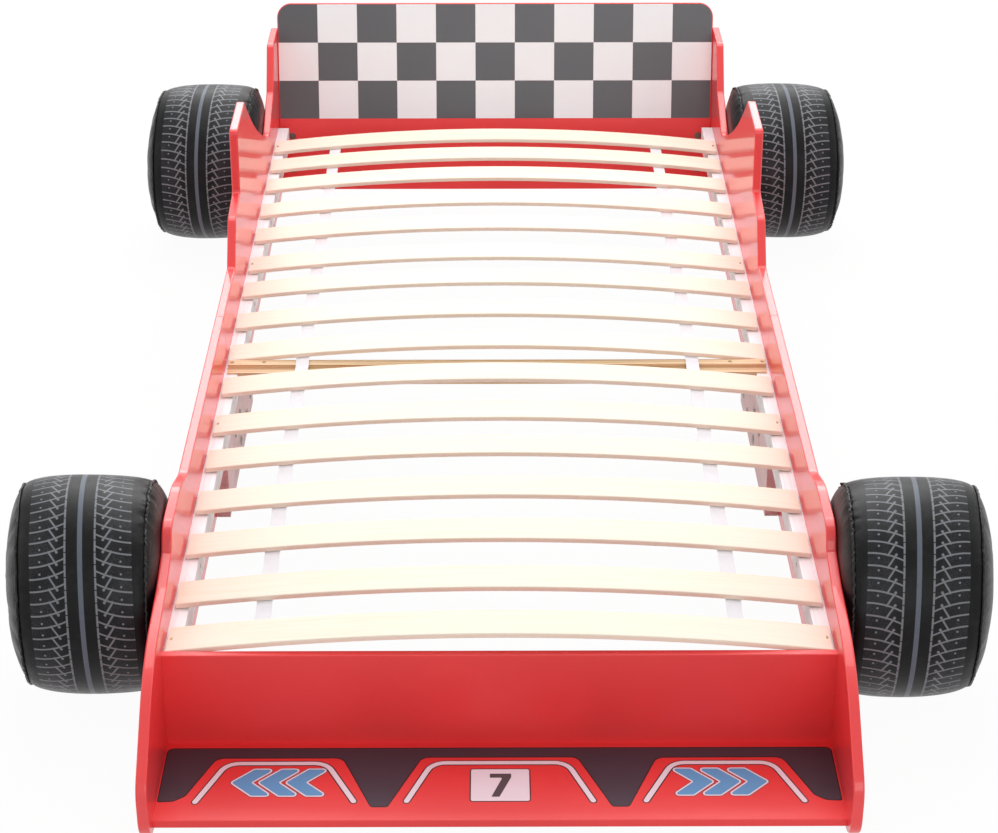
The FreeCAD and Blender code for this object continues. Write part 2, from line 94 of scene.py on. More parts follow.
CLOTH_BLACK = (0.0045, 0.0045, 0.0053)
CLOTH_GREY = (0.013, 0.013, 0.0145)
CLOTH_WORN = (0.055, 0.056, 0.064)
PRINT_GREY = (0.205, 0.213, 0.232)
PRINT_BLUE = (0.125, 0.143, 0.178)
CLOTH_SHINE = 0.15
PIPING_SHINE = 0.3

# Weight and roughness of the clear coat over the paint.
SATIN_COAT = (0.15, 0.32)
GLOSSY_COAT = (0.5, 0.08)
INK_ROUGHNESS = 0.3

# ---- shader nodes ----

class Field:
    """A number worked out by shader nodes at each point, with ordinary arithmetic."""

    def __init__(self, tree, socket):
        self.tree = tree
        self.socket = socket

    def apply(self, operation, *others):
        node = self.tree.nodes.new("ShaderNodeMath")
        node.operation = operation
        for entry, value in zip(node.inputs, (self,) + others):
            put(self.tree, entry, value)
        return Field(self.tree, node.outputs[0])

    def __add__(self, other):
        return self.apply("ADD", other)

    def __sub__(self, other):
        return self.apply("SUBTRACT", other)

    def __rsub__(self, other):
        return (self * -1.0) + other

    def __mul__(self, other):
        return self.apply("MULTIPLY", other)

    def __truediv__(self, other):
        return self.apply("DIVIDE", other)

    def __abs__(self):
        return self.apply("ABSOLUTE")

    def least(self, other):
        return self.apply("MINIMUM", other)

    def most(self, other):
        return self.apply("MAXIMUM", other)

    def to_nearest(self, period):
        """Distance, with its sign, from the nearest whole multiple of period."""
        turns = self / period
        return (turns - turns.apply("ROUND")) * period

    def eased(self, start, end, low=0.0, high=1.0):
        """Goes smoothly from low to high as the number goes from start to end."""
        node = self.tree.nodes.new("ShaderNodeMapRange")
        node.interpolation_type = "SMOOTHSTEP"
        for name, value in (("Value", self), ("From Min", start), ("From Max", end),
                            ("To Min", low), ("To Max", high)):
            put(self.tree, node.inputs[name], value)
        return Field(self.tree, node.outputs[0])


def put(tree, entry, value):
    """Gives an input socket a field, another socket or a plain value."""
    if isinstance(value, Field):
        tree.links.new(value.socket, entry)
    elif isinstance(value, bpy.types.NodeSocket):
        tree.links.new(value, entry)
    elif isinstance(value, tuple) and len(value) == 3 and entry.type == "RGBA":
        entry.default_value = value + (1.0,)
    else:
        entry.default_value = value


class Finish:
    """A procedural material in the making: its tree, its coordinates and its surface shader."""

    def __init__(self, name, roughness, **sockets):
        self.material = bpy.data.materials.new(name)
        self.material.use_nodes = True
        self.tree = self.material.node_tree
        self.shader = self.tree.nodes["Principled BSDF"]
        self.shader.inputs["Roughness"].default_value = roughness
        for socket, value in sockets.items():
            self.shader.inputs[socket.replace("_", " ")].default_value = value
        self.coordinates = self.tree.nodes.new("ShaderNodeTexCoord")

    def axes(self, kind="Object"):
        """The three numbers of a kind of coordinates."""
        node = self.tree.nodes.new("ShaderNodeSeparateXYZ")
        self.tree.links.new(self.coordinates.outputs[kind], node.inputs[0])
        return [Field(self.tree, output) for output in node.outputs]

    def placed(self, stretch, shift):
        """The bed's own coordinates, stretched and shifted."""
        node = self.tree.nodes.new("ShaderNodeMapping")
        self.tree.links.new(self.coordinates.outputs["Object"], node.inputs["Vector"])
        node.inputs["Location"].default_value = shift
        node.inputs["Scale"].default_value = stretch
        return node.outputs[0]

    def noise(self, stretch=(1, 1, 1), shift=(0, 0, 0), scale=1.0, detail=3.0, roughness=0.5,
              distortion=0.0):
        node = self.tree.nodes.new("ShaderNodeTexNoise")
        self.tree.links.new(self.placed(stretch, shift), node.inputs["Vector"])
        for name, value in (("Scale", scale), ("Detail", detail), ("Roughness", roughness),
                            ("Distortion", distortion)):
            node.inputs[name].default_value = value
        return Field(self.tree, node.outputs["Fac"])

    def cells(self, stretch=(1, 1, 1), shift=(0, 0, 0), scale=1.0, feature="DISTANCE_TO_EDGE"):
        node = self.tree.nodes.new("ShaderNodeTexVoronoi")
        node.feature = feature
        self.tree.links.new(self.placed(stretch, shift), node.inputs["Vector"])
        node.inputs["Scale"].default_value = scale
        return Field(self.tree, node.outputs["Distance"])

    def mixed(self, factor, first, second):
        node = self.tree.nodes.new("ShaderNodeMix")
        node.data_type = "RGBA"
        for name, value in (("Factor_Float", factor), ("A_Color", first), ("B_Color", second)):
            entry = next(i for i in node.inputs if i.identifier == name)
            put(self.tree, entry, value)
        return next(o for o in node.outputs if o.identifier == "Result_Color")

    def colour(self, socket):
        self.tree.links.new(socket, self.shader.inputs["Base Color"])

    def rough(self, field):
        self.tree.links.new(field.socket, self.shader.inputs["Roughness"])

    def bump(self, height, distance):
        """Raises the surface by distance where height is 1."""
        node = self.tree.nodes.new("ShaderNodeBump")
        node.inputs["Distance"].default_value = distance
        self.tree.links.new(height.socket, node.inputs["Height"])
        self.tree.links.new(node.outputs[0], self.shader.inputs["Normal"])


# ---- finishes ----

def lacquer(name, colours, roughness=0.42, coat=SATIN_COAT):
    """Sprayed lacquer on board: faint orange peel and hardly any change of colour."""
    finish = Finish(name, roughness, Coat_Weight=coat[0], Coat_Roughness=coat[1])
    cloudy = finish.noise(scale=3.0, detail=4.0)
    finish.colour(finish.mixed(cloudy.eased(0.35, 0.7), *colours))
    peel = finish.noise(scale=240.0, detail=2.0)
    speck = finish.noise(shift=(3, 7, 1), scale=1500.0, detail=1.0)
    finish.rough(peel * 0.08 + speck * 0.04 + (roughness - 0.06))
    finish.bump(peel + speck * 0.2, 0.00006)
    return finish.material


def birch(name, seed):
    """Clear-coated birch plywood: long fine grain on the faces and plies on the edges."""
    finish = Finish(name, 0.58, Specular_IOR_Level=0.3)
    shift = (seed * 1.37, seed * 0.71, seed * 0.29)
    fibre = finish.noise((3.0, 260.0, 40.0), shift, detail=5.0, roughness=0.6)
    figure = finish.noise((1.3, 22.0, 4.0), shift, detail=3.0, distortion=0.8)
    rings = abs((figure * 9.0).to_nearest(1.0)).eased(0.0, 0.16)
    pores = finish.noise((30.0, 1500.0, 300.0), shift, detail=2.0)
    stain = finish.noise((2.2, 6.0, 1.0), (seed * 2.3, 1, 4), detail=2.0)
    warm = fibre.eased(0.38, 0.72) * 0.35 + (1.0 - rings) * 0.22 + pores.eased(0.6, 0.75) * 0.25
    face = finish.mixed(warm + stain.eased(0.55, 0.8) * 0.3, BIRCH_PALE, BIRCH_WARM)

    x, _, z = finish.axes()
    depth = z + x * x * (0.5 / SLAT_RADIUS) - (SLAT_UNDER + SLAT_CROWN)
    ply = SLAT_THICK / 5
    wander = finish.noise((9.0, 9.0, 9.0), shift, detail=3.0) * (0.5 * MM)
    glue = abs((depth + wander).to_nearest(ply)).eased(0.15 * MM, 0.5 * MM)
    cross = abs((depth + wander + ply / 2).to_nearest(2 * ply)).eased(0.6 * MM, 1.0 * MM)
    streak = finish.noise((60.0, 60.0, 900.0), shift, detail=3.0)
    edge_tone = cross * 0.4 + streak * 0.3 + (1.0 - glue) * 0.35
    edge = finish.mixed(edge_tone.least(1.0), BIRCH_PALE, BIRCH_PLY)
    normal_z = abs(finish.axes("Normal")[2])
    finish.colour(finish.mixed(normal_z.eased(0.55, 0.8), edge, face))
    finish.rough(fibre * 0.16 + 0.50)
    finish.bump(fibre * 0.5 + pores * 0.6 + glue * 0.2, 0.00010)
    return finish.material


def pine(name, seed):
    """Planed softwood with dark growth lines and a few small knots."""
    finish = Finish(name, 0.55)
    shift = (seed * 0.9, seed * 1.7, seed * 0.4)
    warp = finish.noise((2.0, 14.0, 14.0), shift, detail=3.0)
    _, y, z = finish.axes()
    rings = abs((y * 0.6 + z + warp * 0.022).to_nearest(5.5 * MM)).eased(0.3 * MM, 1.6 * MM)
    knot = finish.cells((7.0, 16.0, 16.0), shift, feature="F1").eased(0.07, 0.2)
    fibre = finish.noise((8.0, 420.0, 420.0), shift, detail=4.0)
    tone = (1.0 - rings) * 0.55 + fibre * 0.25
    tone = tone.most((1.0 - knot) * 0.95)
    finish.colour(finish.mixed(tone, PINE_PALE, PINE_DARK))
    finish.bump(fibre + rings * 0.4, 0.00015)
    return finish.material


def primed(name, colour, shade):
    """Thin primer over wood, with the grain just showing."""
    finish = Finish(name, 0.45)
    grain = finish.noise((220.0, 4.0, 220.0), detail=4.0)
    smudge = finish.noise(scale=14.0, detail=4.0)
    tone = grain.eased(0.45, 0.8) * 0.5 + smudge.eased(0.5, 0.8) * 0.5
    finish.colour(finish.mixed(tone, colour, shade))
    finish.rough(grain * 0.2 + 0.36)
    finish.bump(grain, 0.00012)
    return finish.material


def webbing():
    """White plain weave."""
    finish = Finish("webbing", 0.75, Sheen_Weight=0.3)
    x, y, _ = finish.axes()
    pitch = 1.5 * MM
    warp = abs(x.to_nearest(pitch)).eased(0.0, pitch / 2)
    weft = abs(y.to_nearest(pitch)).eased(0.0, pitch / 2)
    row = abs((y / pitch).apply("FLOOR").to_nearest(2.0))
    weave = warp * row + weft * (1.0 - row)
    fuzz = finish.noise(scale=900.0, detail=3.0)
    # The hollows between the threads are painted grey as painted shade; the fuzz adds random tone on
    # top.
    finish.colour(finish.mixed(weave * 0.35 + fuzz * 0.25, WEBBING_WHITE, (0.62, 0.62, 0.66)))
    finish.bump((1.0 - weave) + fuzz * 0.3, 0.00025)
    return finish.material


def zinc(name, colours):
    """Zinc plate on steel, slightly clouded."""
    finish = Finish(name, 0.34, Metallic=1.0)
    cloud = finish.noise(scale=120.0, detail=4.0)
    finish.colour(finish.mixed(cloud, *colours))
    finish.rough(cloud * 0.25 + 0.24)
    finish.bump(finish.noise(scale=900.0), 0.00003)
    return finish.material


def coated_cloth(finish):
    """Height of a fine pebble grain, the small creases, and the cloth's own colour."""
    pebble = finish.cells(scale=900.0).eased(0.0, 0.3)
    crease = finish.noise(scale=60.0, detail=5.0, roughness=0.6)
    cloth = finish.mixed(crease.eased(0.45, 0.75) * 0.7, CLOTH_BLACK, CLOTH_GREY)
    return pebble, crease, cloth


def leatherette(name, shine):
    """Black coated cloth of the wheels' sides and piping."""
    finish = Finish(name, 0.40, Specular_IOR_Level=shine)
    pebble, crease, cloth = coated_cloth(finish)
    finish.colour(cloth)
    finish.rough(crease * 0.2 + 0.22)
    finish.bump(pebble * 0.35 + crease * 0.65, 0.00025)
    return finish.material


# The print of the treads, in millimetres: out from the tread's middle, and round the wheel.
PRINT_REPEATS = 56
STRIPE_HALF = 3.4
EDGE_LINE = 20.8
EDGE_HALF = 1.3
DASH_END = 9.2  # where round the wheel the edge line is broken
SIPE_END = 70.8
SIPE_DROP = 12.4
SIPE_HALF = 1.2
DIAGONAL = (43.6, 8.4, 32.0, 26.5)  # from (out, round) on a sipe to its end past the next
END_DOT = 1.9
DOT = (56.0, 4.9, 1.5)  # (out, round, radius)
DARK_BLOCKS = (24.0, 44.0)  # the blocks next to the middle bands are printed darkest


def tread_print(name):
    """Black coated cloth with a printed tread: stripe, edge lines, sipes, diagonals and dots."""
    finish = Finish(name, 0.40, Specular_IOR_Level=CLOTH_SHINE)
    pebble, crease, cloth = coated_cloth(finish)
    period = 2 * math.pi * WHEEL_RADIUS / MM / PRINT_REPEATS
    turn, across, _ = finish.axes("UV")
    out = abs(across)
    along = turn * period

    def line(distance, half):
        return abs(distance).eased(half + 0.4, half - 0.3)

    stripe = line(out, STRIPE_HALF)
    dash_gap = abs((along - DASH_END).to_nearest(period)).eased(0.5, 0.9)
    edge = line(out - EDGE_LINE, EDGE_HALF) * dash_gap
    share = 1.0 - (out - EDGE_LINE) / (SIPE_END - EDGE_LINE)
    curve = (1.0 - share * share) * SIPE_DROP
    in_zone = out.eased(EDGE_LINE - 0.3, EDGE_LINE + 0.3) * out.eased(SIPE_END + 0.5, SIPE_END)
    sipe = line((along - curve).to_nearest(period), SIPE_HALF) * in_zone

    out0, along0, out1, along1 = DIAGONAL
    slope = (along1 - along0) / (out0 - out1)
    steep = 1 / math.hypot(1, slope)
    from_diagonal = (along - ((out0 - out) * slope + along0)).to_nearest(period) * steep
    reach = out.eased(out1 - 0.3, out1 + 0.2) * out.eased(out0 + 0.5, out0)
    diagonal = line(from_diagonal, SIPE_HALF) * reach

    def dot(at_out, at_along, radius):
        du = out - at_out
        dv = (along - at_along).to_nearest(period)
        return line((du * du + dv * dv).apply("SQRT"), radius)

    marks = sipe.most(diagonal).most(edge)
    marks = marks.most(dot(out1, along1, END_DOT)).most(dot(*DOT))
    worn = finish.noise(scale=700.0, detail=2.0).eased(0.25, 0.6, 0.78, 1.0)
    speckle = finish.noise(shift=(5, 1, 2), scale=900.0, detail=3.0)
    patchy = finish.noise(shift=(2, 8, 4), scale=26.0, detail=3.0)
    blocks = out.eased(*DARK_BLOCKS, 0.15, 1.0) * patchy.eased(0.3, 0.7, 0.35, 1.0)
    zone = in_zone * speckle.eased(0.38, 0.66) * blocks

    cloth = finish.mixed(zone * 0.8, cloth, CLOTH_WORN)
    cloth = finish.mixed(marks * worn, cloth, PRINT_GREY)
    finish.colour(finish.mixed(stripe * worn, cloth, PRINT_BLUE))
    finish.rough(crease * 0.2 + marks * 0.06 + 0.22)
    finish.bump(pebble * 0.3 + crease * 0.6 + marks.most(stripe) * 0.3, 0.00025)
    return finish.material


# ---- meshes ----

def in_scene(name, data):
    thing = bpy.data.objects.new(name, data)
    bpy.context.scene.collection.objects.link(thing)
    return thing


def add_piece(name, data, replaced=()):
    """A new piece of the bed, in place and the nodes that it stands for."""
    piece = in_scene(name, data)
    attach(piece, "root")
    if replaced:
        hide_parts(*replaced)
    return piece


def mesh_from(bm, name, materials, smooth_angle=None):
    bmesh.ops.recalc_face_normals(bm, faces=bm.faces)
    mesh = bpy.data.meshes.new(name)
    bm.to_mesh(mesh)
    bm.free()
    for material in materials:
        mesh.materials.append(material)
    if smooth_angle:
        mesh.shade_smooth()
        mesh.set_sharp_from_angle(angle=math.radians(smooth_angle))
    return mesh


def tube(bm, loops):
    """Joins each loop of vertices to the next one, and closes both ends."""
    size = len(loops[0])
    for one, two in zip(loops, loops[1:]):
        for k in range(size):
            n = (k + 1) % size
            bm.faces.new((one[k], one[n], two[n], two[k]))
    bm.faces.new(loops[0])
    bm.faces.new(loops[-1])


def rounded(corners, steps=6):
    """A closed outline through (x, y, radius) corners, each rounded by an arc."""
    points = []
    count = len(corners)
    for i, (x, y, radius) in enumerate(corners):
        here = Vector((x, y))
        if not radius:
            points.append(here)
            continue
        back = (Vector(corners[i - 1][:2]) - here).normalized()
        ahead = (Vector(corners[(i + 1) % count][:2]) - here).normalized()
        half = back.angle(ahead) / 2
        centre = here + (back + ahead).normalized() * (radius / math.sin(half))
        first = here + back * (radius / math.tan(half)) - centre
        last = here + ahead * (radius / math.tan(half)) - centre
        sweep = first.angle_signed(last)
        for step in range(steps + 1):
            points.append(centre + Matrix.Rotation(-sweep * step / steps, 2) @ first)
    return points


def grown(outline, distance):
    """The outline moved outwards by distance, with sharp corners."""
    area = sum(a.x * b.y - b.x * a.y for a, b in zip(outline, outline[1:] + outline[:1]))
    turn = 1 if area > 0 else -1
    result = []
    for i, here in enumerate(outline):
        back = (here - outline[i - 1]).normalized()
        ahead = (outline[(i + 1) % len(outline)] - here).normalized()
        normal = Vector((back.y + ahead.y, -back.x - ahead.x)) * turn
        result.append(here + normal * (distance / (1 + back.dot(ahead))))
    return result


def band(corners, width):
    """Outline of a stripe along an open path of (x, y, radius) corners, with round ends."""
    path = rounded(corners)
    normals = []
    for i in range(len(path)):
        run = (path[min(i + 1, len(path) - 1)] - path[max(i - 1, 0)]).normalized()
        normals.append(Vector((-run.y, run.x)) * (width / 2))
    one = [p + n for p, n in zip(path, normals)]
    other = [p - n for p, n in zip(path, normals)]

    def cap(centre, start):
        return [centre + Matrix.Rotation(-math.pi * k / 6, 2) @ start for k in range(1, 6)]

    return one + cap(path[-1], normals[-1]) + other[::-1] + cap(path[0], -normals[0])


def print_layer(bm, outline, to_point, top, bottom, index):
    """A thin closed layer of ink on a board. to_point takes (x, y, height over the board)."""
    upper = [bm.verts.new(to_point(p.x, p.y, top)) for p in outline]
    lower = [bm.verts.new(to_point(p.x, p.y, bottom)) for p in outline]
    faces = [bm.faces.new(upper), bm.faces.new(lower[::-1])]
    for i in range(len(outline)):
        j = (i + 1) % len(outline)
        faces.append(bm.faces.new((upper[i], lower[i], lower[j], upper[j])))
    for face in faces:
        face.material_index = index


# ---- headboard: chequers ----
CHEQUER_COLUMNS = 11
CHEQUER_ROWS = 3
CHEQUER_SIDE = 80.2 * MM
CHEQUER_GAP = 0.1 * MM  # so that no two squares share a wall
CORNER_STEPS = 10
PRINT_INSET = 1.8 * MM
HEAD_CORNER = 30 * MM
INK_THICK = 0.12 * MM


def on_headboard(x, along, height):
    """The point over the headboard's front face. along is measured up the board."""
    return Vector((x, HEAD_BASE_Y + along * math.sin(HEAD_LEAN) - height * math.cos(HEAD_LEAN),
                   along * math.cos(HEAD_LEAN) + height * math.sin(HEAD_LEAN)))


def chequers(inks):
    top = HEAD_TOP / math.cos(HEAD_LEAN) - PRINT_INSET
    right = INNER_X - PRINT_INSET
    column = 2 * right / CHEQUER_COLUMNS
    radius = HEAD_CORNER - PRINT_INSET
    bm = bmesh.new()
    for i in range(CHEQUER_COLUMNS):
        for j in range(CHEQUER_ROWS):
            x0 = -right + i * column
            high = top - j * CHEQUER_SIDE
            low = high - CHEQUER_SIDE
            left_round = radius if (i, j) == (0, 0) else 0
            right_round = radius if (i, j) == (CHEQUER_COLUMNS - 1, 0) else 0
            square = [(x0, low, 0), (x0 + column, low, 0), (x0 + column, high, right_round),
                      (x0, high, left_round)]
            outline = grown(rounded(square, CORNER_STEPS), -CHEQUER_GAP / 2)
            print_layer(bm, outline, on_headboard, INK_THICK, -INK_THICK, (i + j) % 2)
    mesh = mesh_from(bm, "headboard_chequers", [inks["dark"], inks["white"]])
    add_piece("headboard_chequers", mesh)


# ---- nose shelf: racing print ----

def on_shelf(x, y, height):
    return Vector((x * MM, y * MM, SHELF_TOP + height))


FIELD = [(-459, -967, 10), (459, -967, 10), (459, -1088, 3), (437, -1087, 20), (422, -1075, 12),
         (388, -991, 16), (216, -991, 16), (173, -1100, 6), (150, -1100, 6), (106, -990, 14)]
SIDE_STRIPE = [(-408, -1088, 0), (-373, -1002.5, 26), (-237, -1002.5, 26), (-196, -1087, 0)]
MIDDLE_STRIPE = [(-125, -1087, 0), (-92, -1002, 26), (92, -1002, 26), (125, -1087, 0)]
STRIPE_WIDTH = 7.5
OUTLINE_WIDTH = 1.7
PLATE = [(-39, -1087, 3), (40, -1087, 3), (40, -1017, 3), (-39, -1017, 3)]
SEVEN = [(-14, 25, 1), (15, 25, 1), (15, 17, 1), (-1, -26, 1), (-12, -26, 1), (3, 16, 2),
         (-14, 16, 1)]
SEVEN_MIDDLE = (0.5, -1052)
CHEVRON_ARM = 26
CHEVRON_POINT = 29
CHEVRON_HALF = 29
CHEVRON_PITCH = 37
CHEVRON_CORNER = 3
CHEVRON_BORDER = 2.4
CHEVRONS = 3
MOTIF_X = 304  # middle of a group of chevrons
MOTIF_Y = -1045.5


def shelf_print(inks):
    """Dark field with three red openings, each with a pale stripe; a number in the middle one and
    chevrons in the outer ones.
    """
    bm = bmesh.new()
    names = ("field", "line", "pale_pink", "blue", "dark")

    def layer(outline, level, ink):
        print_layer(bm, outline, on_shelf, INK_THICK * level, -INK_THICK, names.index(ink))

    mirrored_field = [(-x, y, radius) for x, y, radius in reversed(FIELD[2:])]
    field = rounded(FIELD + mirrored_field)
    layer(grown(field, -OUTLINE_WIDTH), 2, "field")
    layer(field, 1, "line")

    mirrored_stripe = [(-x, y, radius) for x, y, radius in reversed(SIDE_STRIPE)]
    for stripe in (SIDE_STRIPE, mirrored_stripe, MIDDLE_STRIPE):
        layer(band(stripe, STRIPE_WIDTH + 2 * OUTLINE_WIDTH), 1, "line")
        layer(band(stripe, STRIPE_WIDTH), 2, "pale_pink")

    plate = rounded(PLATE, 3)
    layer(grown(plate, OUTLINE_WIDTH), 1, "line")
    layer(plate, 2, "pale_pink")
    layer([point + Vector(SEVEN_MIDDLE) for point in rounded(SEVEN, 3)], 3, "dark")

    for side in (-1, 1):
        for i in range(CHEVRONS):
            back = (i - CHEVRONS / 2) * CHEVRON_PITCH - CHEVRON_POINT / 2
            tip = back + CHEVRON_POINT
            corners = [(back, -CHEVRON_HALF), (back + CHEVRON_ARM, -CHEVRON_HALF),
                       (tip + CHEVRON_ARM, 0), (back + CHEVRON_ARM, CHEVRON_HALF),
                       (back, CHEVRON_HALF), (tip, 0)]
            corners = [(side * (x + MOTIF_X), y + MOTIF_Y, CHEVRON_CORNER) for x, y in corners]
            chevron = rounded(corners, 3)
            layer(grown(chevron, CHEVRON_BORDER + OUTLINE_WIDTH / 2), 1, "line")
            layer(grown(chevron, CHEVRON_BORDER), 2, "pale_pink")
            layer(chevron, 3, "blue")
    mesh = mesh_from(bm, "nose_shelf_print", [inks[n] for n in names])
    add_piece("nose_shelf_print", mesh)


# ---- webbing under the slats ----
STRAP_WIDTH = 22 * MM
STRAP_THICK = 1.2 * MM
STRAP_GAP = 0.2 * MM
STRAP_SAG = 2.6 * MM
STRAP_COLUMNS = 4
STRAP_STEPS = 8  # stations across each gap between slats
STRAP_INSET = 5 * MM  # the straps end under the first and the last slat
STRAP_WAVE = 0.5 * MM
WIDE_GAP = 65 * MM  # a gap this wide sags by STRAP_SAG


def slat_under(x):
    """Height of the slats' underside at x."""
    return SLAT_UNDER + SLAT_CROWN - SLAT_RADIUS + math.sqrt(SLAT_RADIUS ** 2 - x ** 2)


def strap_stations():
    """(y, drop) along a strap: flat under each slat, with a small sag in each gap."""
    spans = [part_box("slat_%02d" % (i + 1)) for i in range(SLAT_COUNT)]
    spans = sorted((low.y, high.y) for low, high in spans)
    stations = [(spans[0][0] + STRAP_INSET, 0.0)]
    for (_, start), (end, _) in zip(spans, spans[1:]):
        sag = STRAP_SAG * (end - start) / WIDE_GAP
        for k in range(STRAP_STEPS + 1):
            share = k / STRAP_STEPS
            stations.append((start + share * (end - start), sag * math.sin(math.pi * share) ** 2))
    stations.append((spans[-1][1] - STRAP_INSET, 0.0))
    return stations


def straps(material):
    stations = strap_stations()
    for side, sign in SIDES:
        bm = bmesh.new()
        rings = []
        for y, drop in stations:
            shift = STRAP_WAVE * math.sin(y * 9 + sign) * drop / STRAP_SAG
            lower = []
            upper = []
            for k in range(STRAP_COLUMNS + 1):
                x = STRAP_X + (k / STRAP_COLUMNS - 0.5) * STRAP_WIDTH
                top = slat_under(x) - STRAP_GAP - drop
                upper.append(bm.verts.new((sign * (x + shift), y, top)))
                lower.append(bm.verts.new((sign * (x + shift), y, top - STRAP_THICK)))
            rings.append(upper + lower[::-1])
        tube(bm, rings)
        mesh = mesh_from(bm, "webbing_" + side, [material], smooth_angle=40)
        add_piece("webbing_" + side, mesh, ["strap_" + side])


# ---- screws and bolts ----
SPOKES = 32
RECESS_TAPER = 0.62  # the recess's floor, as a share of its rim
TIP = None  # stands for the height of the shank's end
# A fastener's profile, in millimetres: (radius, height) from the rim of its recess to its tip.
COUNTERSUNK = [(3.2, 0.0), (4.05, -0.05), (4.2, -0.25), (2.0, -2.3), (2.0, -22), (0.4, TIP)]
DOMED = [(4.6, 0.0), (6.4, -0.4), (7.6, -1.2), (8.0, -2.1), (8.0, -2.95), (3.5, -2.95), (3.5, TIP)]
CROSS_ARM = 2.5 * MM
CROSS_HALF = 0.55 * MM  # half an arm's width
CROSS_DEPTH = 1.5 * MM
HEX_HALF = 2.0 * MM  # half across the flats
HEX_DEPTH = 2.0 * MM


def islands(node):
    """The lowest and highest corner of each separate solid in a node, always in the same order."""
    bm = bmesh.new()
    bm.from_mesh(nodes[node].data)
    bmesh.ops.remove_doubles(bm, verts=bm.verts, dist=1e-6)
    unseen = set(bm.verts)
    found = []
    while unseen:
        stack = [unseen.pop()]
        low = Vector(stack[0].co)
        high = Vector(stack[0].co)
        while stack:
            vert = stack.pop()
            low = Vector(map(min, low, vert.co))
            high = Vector(map(max, high, vert.co))
            for edge in vert.link_edges:
                other = edge.other_vert(vert)
                if other in unseen:
                    unseen.discard(other)
                    stack.append(other)
        found.append((low, high))
    bm.free()
    return sorted(found, key=lambda corners: tuple(corners[0]))


def cross_recess(angle):
    """Radius of a cross-shaped recess at an angle."""
    across = max(abs(math.cos(angle)), 1e-9)
    along = max(abs(math.sin(angle)), 1e-9)
    level = min(CROSS_ARM / across, CROSS_HALF / along)
    upright = min(CROSS_HALF / across, CROSS_ARM / along)
    return max(level, upright)


def hex_recess(angle):
    """Radius of a six-sided recess at an angle."""
    return HEX_HALF / math.cos((angle + math.pi / 6) % (math.pi / 3) - math.pi / 6)


def add_fastener(bm, place, rings, recess, depth):
    """A turned fastener with a shaped recess in its head."""
    angles = [2 * math.pi * k / SPOKES for k in range(SPOKES)]
    if recess is cross_recess:
        corner = math.atan2(CROSS_HALF, CROSS_ARM)
        quarter = math.pi / 2
        angles = sorted(q * quarter + a for q in range(4) for a in (
            0, corner * 0.98, quarter / 2 - 0.1, quarter / 2, quarter / 2 + 0.1,
            quarter - corner * 0.98, corner * 1.04, quarter - corner * 1.04))
    loops = []

    def loop(radius_at, height):
        verts = []
        for a in angles:
            radius = radius_at(a)
            point = Vector((radius * math.cos(a), radius * math.sin(a), height))
            verts.append(bm.verts.new(place @ point))
        loops.append(verts)

    top = rings[0][1]
    loop(lambda a: RECESS_TAPER * recess(a), top - depth)
    loop(recess, top)
    for radius, height in rings:
        loop(lambda a, r=radius: r, height)
    tube(bm, loops)


def fasteners(node, upright, rings, recess, depth, material, rng):
    """Detailed fasteners in the places of a node's plain ones, each turned at random."""
    bm = bmesh.new()
    for low, high in islands(node):
        middle = (low + high) / 2
        if upright:
            head = Vector((middle.x, middle.y, high.z))
            facing = Vector((0, 0, 1))
            length = high.z - low.z
        else:
            head = Vector((low.x if middle.x > 0 else high.x, middle.y, middle.z))
            facing = Vector((-math.copysign(1, middle.x), 0, 0))
            length = high.x - low.x
        turn = facing.to_track_quat("Z", "Y").to_matrix().to_4x4()
        spin = Matrix.Rotation(rng.uniform(0, math.pi), 4, "Z")
        shape = [(radius * MM, -length if height is TIP else height * MM) for radius, height in rings]
        add_fastener(bm, Matrix.Translation(head) @ turn @ spin, shape, recess, depth)
    mesh = mesh_from(bm, node + "_detailed", [material], smooth_angle=35)
    add_piece(node + "_detailed", mesh, [node])


def all_fasteners(rng):
    yellow = zinc("yellow_zinc_plate", YELLOW_ZINC)
    plain = zinc("bolt_zinc_plate", PLAIN_ZINC)
    for node, upright in (("wood_screws", True), ("rail_screws", False)):
        fasteners(node, upright, COUNTERSUNK, cross_recess, CROSS_DEPTH, yellow, rng)
    for node in ("plate_bolts", "wheel_bolts"):
        fasteners(node, False, DOMED, hex_recess, HEX_DEPTH, plain, rng)


# ---- stuffed wheels ----
# Points on a wheel's section are (out from the panel, radius), in millimetres.
FACE = [(0, 12), (0, 60), (0, 104)]
INNER_SHOULDER = [(0, 104), (1.5, 116), (5, 129), (10, 140), (16, 148)]
CROWN = [(16, 148), (23, 150.2), (34, 152.8), (55, 155.2), (80, 156.6), (107, 157), (135, 156.4),
         (160, 154.4), (178, 151.4), (191, 147.6), (200, 143)]
OUTER_FACE = [(200, 143), (206, 134), (212, 121), (217, 105), (222.5, 80), (227, 45), (229, 12)]
SECTION = (FACE, INNER_SHOULDER, CROWN, OUTER_FACE)
TREAD_MIDDLE = 110 * MM
WHEEL_SETS = (("front", 11, 0.085), ("rear", 29, -0.065))  # (end, seed, how far it leans)
LEAN_START = 32 * MM  # the cloth leans fully from here outwards
# How far along the bed a wheel's cloth has slipped on its disc.
WHEEL_SHIFT = {("front", "left"): 4 * MM, ("front", "right"): -8 * MM}
RIGHT_TURN = 2.2  # turns the right-hand wheels' creases out of step

